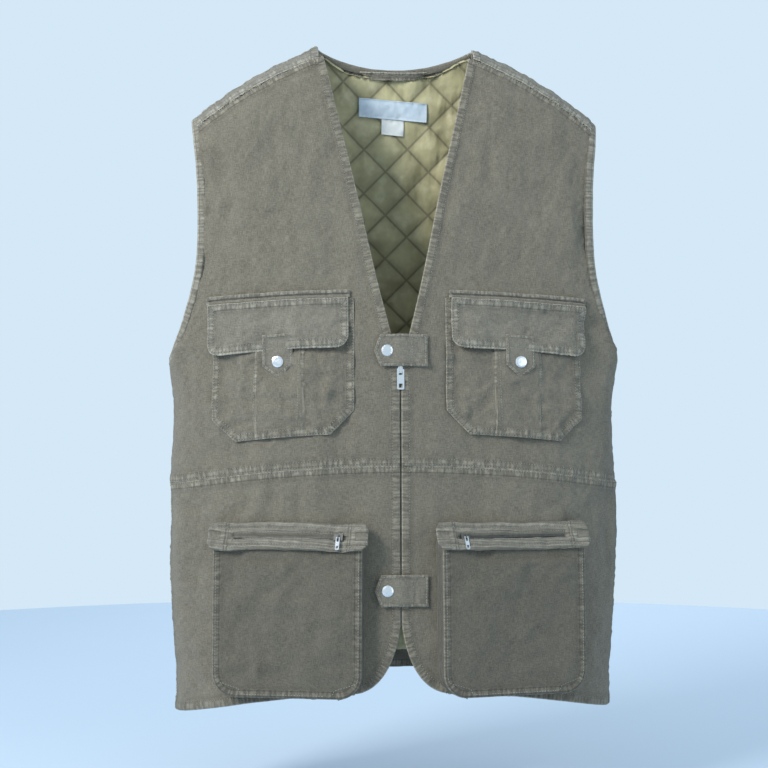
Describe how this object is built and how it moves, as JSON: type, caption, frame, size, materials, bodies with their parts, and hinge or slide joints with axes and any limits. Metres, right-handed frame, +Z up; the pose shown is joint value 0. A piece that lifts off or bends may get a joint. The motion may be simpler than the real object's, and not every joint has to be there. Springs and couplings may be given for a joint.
{
  "type": "fishing vest",
  "caption": "Sleeveless zip-front fishing vest with a V neck, quilted lining, snapped chest flap pockets, zipped box pockets and snap closure straps.",
  "frame": {"origin": "on the centre line, level with the neck points, where a hanger under the shoulders carries it", "axes": "front faces -Y, +Z up, +X towards the wearer's left"},
  "size_m": [0.5164, 0.1997, 0.7538],
  "materials": {
    "shell_cloth": "washed slub cloth, matte",
    "trim_cloth": "the same cloth, worn paler at its folded edges",
    "lining": "diamond-quilted satin",
    "label": "woven label, blank",
    "snap_steel": "bright plated",
    "pull_steel": "bright plated",
    "zip_metal": "dull plated",
    "zip_tape": "woven tape"
  },
  "bodies": {
    "garment": {"back_yoke": "shell_cloth", "back_upper": "shell_cloth", "back_lower": "shell_cloth", "right_front_upper": "shell_cloth", "left_front_upper": "shell_cloth", "right_front_lower": "shell_cloth", "left_front_lower": "shell_cloth", "right_shoulder_strip": "trim_cloth", "left_shoulder_strip": "trim_cloth", "right_front_facing": "trim_cloth", "left_front_facing": "trim_cloth", "right_front_lining": "lining", "left_front_lining": "lining", "back_lining": "lining", "right_armhole_binding": "trim_cloth", "left_armhole_binding": "trim_cloth", "back_neck_binding": "trim_cloth", "hanger_loop": "trim_cloth", "neck_label": "label", "size_tag": "label", "right_chest_pocket": "shell_cloth", "right_chest_welt": "trim_cloth", "right_chest_snap_stud": "snap_steel", "left_chest_pocket": "shell_cloth", "left_chest_welt": "trim_cloth", "left_chest_snap_stud": "snap_steel", "right_zip_tape": "zip_tape", "left_zip_tape": "zip_tape", "zip_box": "zip_metal", "upper_strap_patch": "trim_cloth", "upper_strap_snap_stud": "snap_steel", "lower_strap_patch": "trim_cloth", "lower_strap_snap_stud": "snap_steel", "right_cargo_pocket": "shell_cloth", "right_cargo_band": "trim_cloth", "right_cargo_zip": "zip_metal", "left_cargo_pocket": "shell_cloth", "left_cargo_band": "trim_cloth", "left_cargo_zip": "zip_metal"},
    "front_slider": {"front_zip_slider": "pull_steel"},
    "front_pull": {"front_zip_pull": "pull_steel"},
    "right_flap": {"right_chest_flap": "trim_cloth", "right_chest_tab": "trim_cloth", "right_chest_snap_socket": "snap_steel", "right_chest_snap_cap": "snap_steel"},
    "left_flap": {"left_chest_flap": "trim_cloth", "left_chest_tab": "trim_cloth", "left_chest_snap_socket": "snap_steel", "left_chest_snap_cap": "snap_steel"},
    "upper_closure": {"upper_strap": "trim_cloth", "upper_strap_snap_socket": "snap_steel", "upper_strap_snap_cap": "snap_steel"},
    "lower_closure": {"lower_strap": "trim_cloth", "lower_strap_snap_socket": "snap_steel", "lower_strap_snap_cap": "snap_steel"},
    "right_runner": {"right_cargo_slider": "pull_steel"},
    "right_runner_pull": {"right_cargo_pull": "pull_steel"},
    "left_runner": {"left_cargo_slider": "pull_steel"},
    "left_runner_pull": {"left_cargo_pull": "pull_steel"}
  },
  "joints": [
    {"name": "front_zip_slide", "type": "slide", "parent": "garment", "child": "front_slider", "axis": [0, -0.0418, -0.9991], "range_m": [0, 0.261]},
    {"name": "front_pull_swing", "type": "hinge", "parent": "front_slider", "child": "front_pull", "pos_m": [0, -0.08372, -0.36909], "axis": [-1, 0, 0], "range_deg": [0, 90]},
    {"name": "right_flap_lift", "type": "hinge", "parent": "garment", "child": "right_flap", "pos_m": [-0.1345, -0.06498, -0.2883], "axis": [-0.986, 0.1668, 0], "range_deg": [0, 150]},
    {"name": "left_flap_lift", "type": "hinge", "parent": "garment", "child": "left_flap", "pos_m": [0.1345, -0.06498, -0.2883], "axis": [-0.986, -0.1668, 0], "range_deg": [0, 150]},
    {"name": "upper_strap_swing", "type": "hinge", "parent": "garment", "child": "upper_closure", "pos_m": [0.01103, -0.08232, -0.34694], "axis": [-0.0006, 0.0418, 0.9991], "range_deg": [0, 110]},
    {"name": "lower_strap_swing", "type": "hinge", "parent": "garment", "child": "lower_closure", "pos_m": [0.01103, -0.09336, -0.61096], "axis": [-0.0007, 0.0418, 0.9991], "range_deg": [0, 110]},
    {"name": "right_cargo_slide", "type": "slide", "parent": "garment", "child": "right_runner", "axis": [-0.9783, 0.207, 0], "range_m": [0, 0.112]},
    {"name": "right_cargo_pull_swing", "type": "hinge", "parent": "right_runner", "child": "right_runner_pull", "pos_m": [-0.07017, -0.1064, -0.5512], "axis": [-0.9783, 0.207, 0], "range_deg": [0, 100]},
    {"name": "left_cargo_slide", "type": "slide", "parent": "garment", "child": "left_runner", "axis": [0.9783, 0.207, 0], "range_m": [0, 0.112]},
    {"name": "left_cargo_pull_swing", "type": "hinge", "parent": "left_runner", "child": "left_runner_pull", "pos_m": [0.07017, -0.1064, -0.5512], "axis": [-0.9783, -0.207, 0], "range_deg": [0, 100]}
  ]
}
